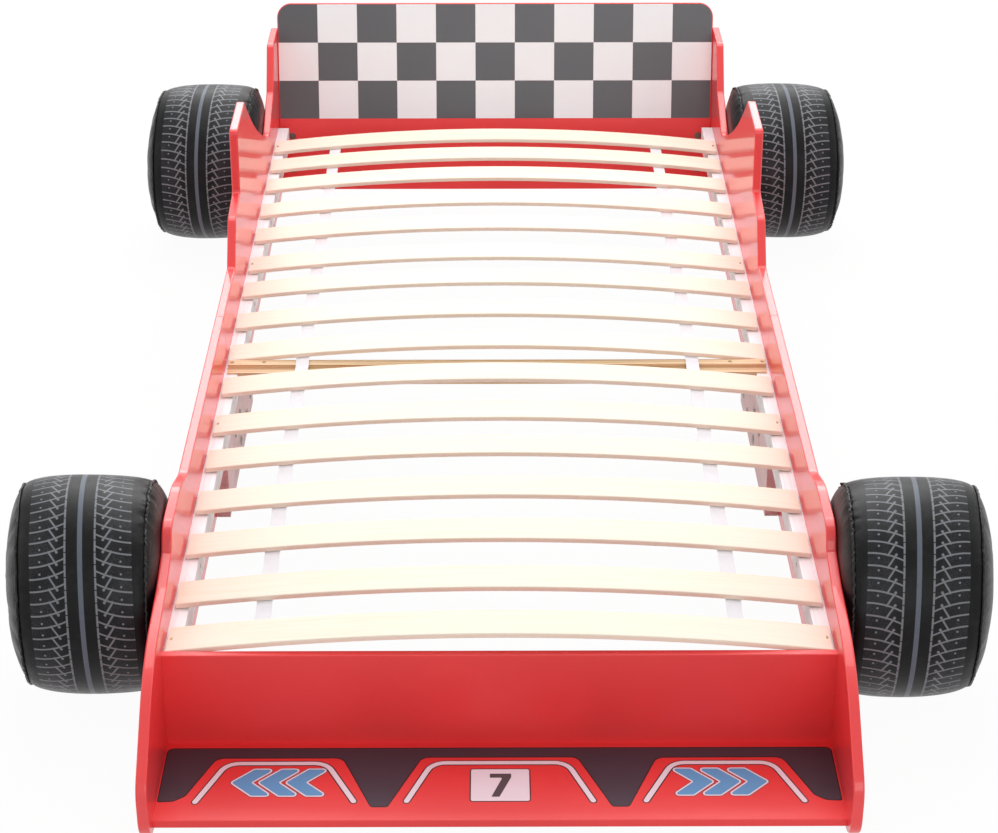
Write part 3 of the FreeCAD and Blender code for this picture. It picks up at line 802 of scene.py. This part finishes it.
COLUMNS = 512
ROW_STEPS = (1.7 * MM, 0.13, 7.0 * MM)  # at a seam, its growth away from it, and the largest
PUFF_COLUMNS = 128
PUFF_STEP = 8.0 * MM
PUFF_FRAMES = 16
PUFF_CAP = 3.5 * MM
CLOTH_THICK = 1.3 * MM
SEAM_DEPTH = 1.6 * MM
SEAM_WIDTH = 1.8 * MM
PIPING_RADIUS = 1.9 * MM
PIPING_LIFT = 2.3 * MM
GATHER_SIZE = {"inner": 2.2 * MM, "outer": 0.8 * MM}
LUMP_WAVES = 14
LUMP_SIZE = 0.7 * MM
PANEL_HOLD = 6 * MM  # the panel keeps the cloth smooth this close to it
BULGE = 3 * MM  # the most that the outer face stands out


def smooth(p0, p1, p2, p3, t):
    """The value at t, from 0 to 1, on a Catmull-Rom curve between p1 and p2."""
    return 0.5 * (2 * p1 + (p2 - p0) * t + (2 * p0 - 5 * p1 + 4 * p2 - p3) * t ** 2
                  + (3 * p1 - p0 - 3 * p2 + p3) * t ** 3)


def curve_through(points):
    """Points close together on a smooth curve through points in millimetres."""
    points = [np.array(point) * MM for point in points]
    ends = [2 * points[0] - points[1]] + points + [2 * points[-1] - points[-2]]
    dense = []
    for four in zip(ends, ends[1:], ends[2:], ends[3:]):
        for t in np.arange(0, 1, 1 / 24):
            dense.append(smooth(*four, t))
    return np.array(dense + [points[-1]])


def lengths_along(path):
    steps = np.linalg.norm(np.diff(path, axis=0), axis=1)
    return np.concatenate([[0], np.cumsum(steps)])


def section_rows(finest, growth, widest):
    """The skin's section as rows of points, closest together at its seams, and the seams' rows."""
    rows = []
    ends = []
    for i, points in enumerate(SECTION):
        path = curve_through(points)
        along = lengths_along(path)
        from_seam = np.full(len(path), 1.0)
        if i in (2, 3):
            from_seam = np.minimum(from_seam, along)
        if i in (1, 2):
            from_seam = np.minimum(from_seam, along[-1] - along)
        step = np.minimum(finest + growth * from_seam, widest)
        count = np.concatenate([[0], np.cumsum(np.diff(along) / step[1:])])
        wanted = np.linspace(0, count[-1], round(count[-1]) + 1)
        stretch = np.stack([np.interp(wanted, count, path[:, k]) for k in range(2)], axis=1)
        rows.append(stretch if i == len(SECTION) - 1 else stretch[:-1])
        ends.append(sum(len(part) for part in rows))
    return np.concatenate(rows), ends[1], ends[2]


def section_normals(rows):
    """The outward direction at each row of the section."""
    tangent = np.gradient(rows, axis=0)
    tangent /= np.linalg.norm(tangent, axis=1)[:, None]
    return np.stack([-tangent[:, 1], tangent[:, 0]], axis=1)


def angles_round(columns):
    return np.arange(columns) * 2 * math.pi / columns


def turned(rows, columns):
    """The section turned about the axle, as a grid of points."""
    angle = angles_round(columns)
    x = np.broadcast_to(rows[:, :1], (len(rows), columns))
    return np.stack([x, -rows[:, 1:] * np.sin(angle), rows[:, 1:] * np.cos(angle)], axis=2)


def puffed(rows, inner_row, outer_row):
    """How a plain skin's points move in a short cloth simulation with air pressure inside."""
    grid = turned(rows, PUFF_COLUMNS)
    mesh = bpy.data.meshes.new("wheel_skin")
    faces = grid_faces(len(rows), PUFF_COLUMNS, True, True)
    mesh.from_pydata(grid.reshape(-1, 3).tolist(), [], faces)
    skin = in_scene("wheel_skin", mesh)
    held = {row: 1.0 for row in range(len(rows)) if rows[row, 0] < 0.5 * MM}
    held.update({inner_row: 1.0, outer_row: 1.0, len(rows) - 1: 0.6})
    group = skin.vertex_groups.new(name="held")
    for row, weight in held.items():
        group.add(list(range(row * PUFF_COLUMNS, (row + 1) * PUFF_COLUMNS)), weight, "REPLACE")
    cloth = skin.modifiers.new("cloth", "CLOTH")
    settings = cloth.settings
    settings.vertex_group_mass = group.name
    settings.quality = 5
    settings.mass = 0.3
    settings.tension_stiffness = 15
    settings.compression_stiffness = 15
    settings.shear_stiffness = 5
    settings.bending_stiffness = 0.4
    settings.use_pressure = True
    settings.uniform_pressure_force = 2.5
    settings.effector_weights.gravity = 0
    cloth.collision_settings.use_collision = False
    cloth.point_cache.frame_end = PUFF_FRAMES
    for step in range(1, PUFF_FRAMES + 1):
        bpy.context.scene.frame_set(step)
    shown = skin.evaluated_get(bpy.context.evaluated_depsgraph_get())
    points = np.empty(grid.size)
    shown.data.vertices.foreach_get("co", points)
    bpy.data.objects.remove(skin)
    bpy.data.meshes.remove(mesh)
    bpy.context.scene.frame_set(1)
    moved = points.reshape(grid.shape) - grid
    length = np.linalg.norm(moved, axis=2, keepdims=True)
    return moved * np.minimum(1, PUFF_CAP / np.maximum(length, 1e-9))


def resampled(values, places, axis, mode):
    """Values read between their samples along an axis, on a smooth curve through them."""
    whole = np.floor(places).astype(int)
    shape = [1] * values.ndim
    shape[axis] = len(places)
    t = (places - whole).reshape(shape)
    four = (np.take(values, whole + k, axis=axis, mode=mode) for k in (-1, 0, 1, 2))
    return smooth(*four, t)


def swelling(rows):
    """The simulation's moves at the points of the fine grid."""
    coarse, inner_row, outer_row = section_rows(PUFF_STEP, 0, PUFF_STEP)
    moved = puffed(coarse, inner_row, outer_row)
    places = np.interp(lengths_along(rows), lengths_along(coarse), np.arange(len(coarse)))
    moved = resampled(moved, places, 0, "clip")
    return resampled(moved, np.arange(COLUMNS) * PUFF_COLUMNS / COLUMNS, 1, "wrap")


def puckers(rng, distance, angle, spacing, depth, reach):
    """Radial creases that start at a seam: how far the cloth is drawn in at each point.

    distance is the way from the seam along the section, and angle runs round the wheel.
    """
    drawn = np.zeros(np.broadcast(distance, angle).shape)
    at = 0.0
    while at < 2 * math.pi:
        size = rng.uniform(0.35, 1.0)
        width = rng.uniform(0.28, 0.45) * spacing
        off = (angle - at + math.pi) % (2 * math.pi) - math.pi
        off = off + rng.uniform(-0.35, 0.35) * distance / WHEEL_RADIUS
        fade = np.exp(-distance / (reach * size))
        drawn += depth * size * fade * np.exp(-(off * WHEEL_RADIUS / width) ** 2)
        at += rng.uniform(0.55, 1.6) * spacing / WHEEL_RADIUS
    return drawn


def lumps(rng, along, angle):
    """Uneven stuffing: a few low waves round the wheel and along its section."""
    height = np.zeros(np.broadcast(along, angle).shape)
    for _ in range(LUMP_WAVES):
        around = rng.randint(2, 11)
        wave = rng.uniform(10, 45)
        size = rng.uniform(0.3, 1.0) / around
        height += size * np.sin(around * angle + wave * along + rng.uniform(0, 6.3))
    return height


# Spacing, depth and reach of two sizes of pucker beside each seam, in millimetres.
TREAD_PUCKERS = {"inner": ((8.5, 2.6, 6), (34, 2.6, 22)), "outer": ((12, 1.1, 5), (48, 1.2, 16))}
SIDE_PUCKERS = {"inner": ((11, 1.5, 9), (30, 2.2, 18)), "outer": ((15, 1.7, 14), (42, 3.6, 38))}


def drawn_in(rows, inner_row, outer_row, seed):
    """How far the cloth lies below its smooth shape: seams, puckers and lumps."""
    rng = random.Random(seed)
    angle = angles_round(COLUMNS)[None, :]
    along = lengths_along(rows)
    index = np.arange(len(rows))
    on_tread = ((index >= inner_row) & (index <= outer_row))[:, None]
    drawn = lumps(rng, along[:, None], angle) * LUMP_SIZE
    for name, seam in (("inner", inner_row), ("outer", outer_row)):
        distance = np.abs(along - along[seam])[:, None]
        for part, sizes in ((on_tread, TREAD_PUCKERS[name]), (~on_tread, SIDE_PUCKERS[name])):
            for spacing, depth, reach in sizes:
                pleats = puckers(rng, distance, angle, spacing * MM, depth * MM, reach * MM)
                drawn = drawn + pleats * part
        drawn = drawn + SEAM_DEPTH * np.exp(-distance / SEAM_WIDTH)
    against_panel = np.clip(rows[:, 0] / PANEL_HOLD, 0, 1)
    return drawn * against_panel[:, None]


def gathers(rng):
    """To and fro of a cord that the stitches draw in, from -1 to 1 round a seam."""
    angle = angles_round(COLUMNS)
    height = np.zeros(COLUMNS)
    for _ in range(9):
        height += rng.uniform(0.5, 1) * np.sin(rng.randint(60, 130) * angle + rng.uniform(0, 6.3))
    return height / np.abs(height).max()


def stuffed_skin(seed):
    """One wheel's skin, blown up by the simulation, and its rows."""
    rows, inner_row, outer_row = section_rows(*ROW_STEPS)
    grid = turned(rows, COLUMNS)
    grid = grid + swelling(rows)
    normals = section_normals(rows)
    outward = turned(normals, COLUMNS)
    grid = grid - outward * drawn_in(rows, inner_row, outer_row, seed)[:, :, None]
    grid[:, :, 0] = np.clip(grid[:, :, 0], 0, WHEEL_WIDTH + BULGE)
    cords = {}
    rng = random.Random(seed + 1)
    for name, row in (("inner", inner_row), ("outer", outer_row)):
        away = turned((normals[row - 1] + normals[row + 1])[None] / 2, COLUMNS)[0]
        cords[name] = grid[row] + away * PIPING_LIFT
        cords[name][:, 0] += gathers(rng) * GATHER_SIZE[name]
    return grid, rows, inner_row, outer_row, cords


def in_place(points, sign, wheel_y, turn, lean, lowest=0.0):
    """Points of a wheel turned about its axle and set outside a panel, standing flat on the floor.

    lean is how far the cloth is pushed outwards behind the axle and inwards before it.
    """
    y = points[..., 1] * math.cos(turn) - points[..., 2] * math.sin(turn)
    z = points[..., 1] * math.sin(turn) + points[..., 2] * math.cos(turn)
    x = points[..., 0] + lean * y * np.clip(points[..., 0] / LEAN_START, 0, 1)
    z = np.maximum(z + WHEEL_RADIUS, lowest)
    return np.stack([sign * (np.maximum(x, 0) + WHEEL_FACE_X), y + wheel_y, z], axis=-1)


def grid_faces(count, columns, closed_start, closed_end):
    """Faces of a grid of points whose columns run round a wheel."""
    corner = np.arange((count - 1) * columns).reshape(-1, columns)
    after = np.roll(corner, -1, axis=1)
    faces = np.stack([corner, after, after + columns, corner + columns], axis=2)
    faces = faces.reshape(-1, 4).tolist()
    if closed_start:
        faces.append(list(range(columns))[::-1])
    if closed_end:
        faces.append(list(range((count - 1) * columns, count * columns)))
    return faces


def cover_piece(name, points, first, last, across, turn, way, material, replaced):
    """A part of the cover as a shell of cloth, with the print's coordinates."""
    part = points[first:last + 1]
    count = len(part)
    faces = grid_faces(count, COLUMNS, first == 0, last == len(points) - 1)
    mesh = bpy.data.meshes.new(name)
    mesh.from_pydata(part.reshape(-1, 3).tolist(), [], faces)
    column = np.arange(COLUMNS) + np.array([0, 1, 1, 0])[:, None]
    share = np.broadcast_to(column.T[None], (count - 1, COLUMNS, 4)) / COLUMNS
    share = share + turn / (2 * math.pi)
    row = np.arange(count - 1)[:, None, None] + np.array([0, 0, 1, 1])
    out = np.broadcast_to(across[first + row], share.shape)
    uv = mesh.uv_layers.new(name="UVMap")
    flat = np.zeros(len(mesh.loops) * 2)
    flat[:share.size * 2] = np.stack([way * share * PRINT_REPEATS, out], axis=3).ravel()
    uv.data.foreach_set("uv", flat)
    mesh.materials.append(material)
    if points[0, 0, 0] < 0:  # the left-hand wheels are mirror images
        mesh.flip_normals()
    mesh.shade_smooth()
    piece = add_piece(name, mesh, replaced)
    shell = piece.modifiers.new("cloth", "SOLIDIFY")
    shell.thickness = CLOTH_THICK
    shell.offset = -1


def piping(name, ring, material):
    """The sewn cord round a seam."""
    curve = bpy.data.curves.new(name, "CURVE")
    curve.dimensions = "3D"
    curve.bevel_depth = PIPING_RADIUS
    curve.bevel_resolution = 3
    spline = curve.splines.new("POLY")
    spline.points.add(len(ring) - 1)
    for point, place in zip(spline.points, ring):
        point.co = (*place, 1)
    spline.use_cyclic_u = True
    curve.materials.append(material)
    add_piece(name, curve)


def wheels(tread, cover, cord):
    for end, seed, lean in WHEEL_SETS:
        grid, rows, inner_row, outer_row, cords = stuffed_skin(seed)
        along = lengths_along(rows)
        on_tread = slice(inner_row, outer_row + 1)
        across = (along - np.interp(TREAD_MIDDLE, rows[on_tread, 0], along[on_tread])) / MM
        for side, sign in SIDES:
            node = "wheel_%s_%%s_%s" % (end, side)
            low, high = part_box(node % "foam")
            wheel_y = (low.y + high.y) / 2 + WHEEL_SHIFT.get((end, side), 0)
            turn = 0.0 if side == "left" else RIGHT_TURN
            way = 1 if (end, side) == ("front", "left") else -1
            points = in_place(grid, sign, wheel_y, turn, lean)
            last = len(points) - 1
            for part, first, end_row, material, slot, replaced in (
                    ("tread", inner_row, outer_row, tread, "tread_print", ("tread",)),
                    ("outer_cover", outer_row, last, cover, "black_leatherette",
                     ("outer_cover", "foam")),
                    ("inner_cover", 0, inner_row, cover, "black_leatherette", ("inner_cover",))):
                cover_piece(node % part + "_cloth", points, first, end_row, across, turn, way,
                            material, [node % name for name in replaced])
            for name, ring in cords.items():
                placed = in_place(ring, sign, wheel_y, turn, lean, PIPING_RADIUS)
                piping("wheel_%s_%s_piping_%s" % (end, name, side), placed, cord)


# ---- stage ----

def seen_directly(tree):
    """1 for what the camera sees, also in a reflection or through something clear."""
    path = tree.nodes.new("ShaderNodeLightPath")
    field = Field(tree, path.outputs["Is Camera Ray"])
    for name in ("Is Glossy Ray", "Is Transmission Ray"):
        field = field.most(Field(tree, path.outputs[name]))
    return field


FLOOR_HALF = 9.0
FLOOR_DROP = 0.3 * MM  # keeps the floor clear of the bed's lower faces
FLOOR_GREY = 0.82
FLOOR_WHITENESS = 0.96  # how far the floor is lifted to the white background
AMBIENT = 0.42  # strength of the white world as a light


def stage():
    """A pale floor that keeps a light shadow, in front of a white background."""
    mesh = bpy.data.meshes.new("floor")
    corners = [(x * FLOOR_HALF, y * FLOOR_HALF, 0) for x, y in ((-1, -1), (1, -1), (1, 1), (-1, 1))]
    mesh.from_pydata(corners, [], [(0, 1, 2, 3)])
    floor = in_scene("floor", mesh)
    floor.location.z = -FLOOR_DROP
    finish = Finish("pale_floor", 0.7, Base_Color=(FLOOR_GREY, FLOOR_GREY, FLOOR_GREY, 1))
    tree = finish.tree
    glow = tree.nodes.new("ShaderNodeEmission")
    mix = tree.nodes.new("ShaderNodeMixShader")
    put(tree, mix.inputs[0], seen_directly(tree) * FLOOR_WHITENESS)
    tree.links.new(finish.shader.outputs[0], mix.inputs[1])
    tree.links.new(glow.outputs[0], mix.inputs[2])
    tree.links.new(mix.outputs[0], tree.nodes["Material Output"].inputs["Surface"])
    mesh.materials.append(finish.material)

    world = bpy.data.worlds.new("studio")
    bpy.context.scene.world = world
    world.use_nodes = True
    tree = world.node_tree
    background = tree.nodes["Background"]
    background.inputs["Color"].default_value = (1, 1, 1, 1)
    put(tree, background.inputs["Strength"], seen_directly(tree) * (1 - AMBIENT) + AMBIENT)


def soft_box(name, place, target, size, power):
    light = bpy.data.lights.new(name, "AREA")
    light.shape = "RECTANGLE"
    light.size, light.size_y = size
    light.energy = power
    lamp = in_scene(name, light)
    lamp.location = place
    lamp.rotation_euler = (Vector(target) - Vector(place)).to_track_quat("-Z", "Y").to_euler()
    lamp.visible_camera = False


def lights():
    """Each lamp's name, place, target, size and power in watts."""
    soft_box("overhead", (0.0, 1.0, 3.4), (0.0, 0.6, 0.0), (2.4, 3.0), 75)
    soft_box("strip", (0.0, 2.9, 3.6), (0.0, -0.4, 0.3), (4.4, 0.7), 46)
    soft_box("back", (0.0, 6.0, 3.2), (0.0, 0.0, 0.2), (5.0, 1.6), 150)
    soft_box("front", (0.6, -4.3, 1.8), (0.0, -0.4, 0.2), (2.6, 1.8), 37)
    soft_box("left", (-3.2, -0.8, 1.9), (0.0, 0.0, 0.2), (1.8, 2.6), 16)
    soft_box("right", (3.2, 0.4, 1.9), (0.0, 0.0, 0.2), (1.8, 2.6), 16)


# The camera, solved from the photograph: 998 pixels across, 2329 pixels of focal length.
PHOTO_WIDTH = 998
FOCAL_PIXELS = 2329
SENSOR = 36.0
CAMERA_PLACE = (-0.012, -3.596, 1.942)
CAMERA_PITCH = 28.05
CAMERA_YAW = 0.245


def camera():
    data = bpy.data.cameras.new("camera")
    data.sensor_width = SENSOR
    data.lens = SENSOR * FOCAL_PIXELS / PHOTO_WIDTH
    view = in_scene("camera", data)
    view.location = CAMERA_PLACE
    view.rotation_euler = (math.radians(90 - CAMERA_PITCH), 0, -math.radians(CAMERA_YAW))
    bpy.context.scene.camera = view
    bpy.context.scene.view_settings.view_transform = "Standard"


# ---- assembly ----

def dress(node, material):
    """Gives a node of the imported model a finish."""
    mesh = nodes[node].data
    if not mesh.materials:
        mesh.materials.append(material)
    for i in range(len(mesh.materials)):
        mesh.materials[i] = material


def dress_nodes():
    red = lacquer("red_lacquer", RED)
    glossy_red = lacquer("glossy_red_lacquer", RED, coat=GLOSSY_COAT)
    white = primed("white_primer", RAIL_WHITE, (0.70, 0.68, 0.69))
    plate = primed("plate_primer", PLATE_PINK, (0.50, 0.30, 0.31))
    steel = zinc("dull_zinc_plate", DULL_ZINC)
    ply = birch("disc_plywood", 40)
    for name in ("footboard", "nose_shelf", "headboard"):
        dress(name, red)
    for i in range(SLAT_COUNT):
        dress("slat_%02d" % (i + 1), birch("birch_%02d" % (i + 1), i + 1))
    for i, name in enumerate(("beam_front", "beam_rear")):
        dress(name, pine("pine_" + name, i + 1))
    for side, _ in SIDES:
        for half in ("front", "rear"):
            dress("side_%s_%s" % (half, side), glossy_red)
            dress("rail_%s_%s" % (half, side), white)
            dress("wheel_%s_disc_%s" % (half, side), ply)
        dress("joint_plate_" + side, plate)
    for name in ("cams", "cam_bolts"):
        dress(name, steel)


def main():
    dress_nodes()
    inks = {name: lacquer("ink_" + name, colours, INK_ROUGHNESS) for name, colours in INKS.items()}
    chequers(inks)
    shelf_print(inks)
    straps(webbing())
    all_fasteners(random.Random(5))
    wheels(tread_print("printed_tread"), leatherette("black_leatherette", CLOTH_SHINE),
           leatherette("piping_leatherette", PIPING_SHINE))
    stage()
    lights()
    camera()


main()
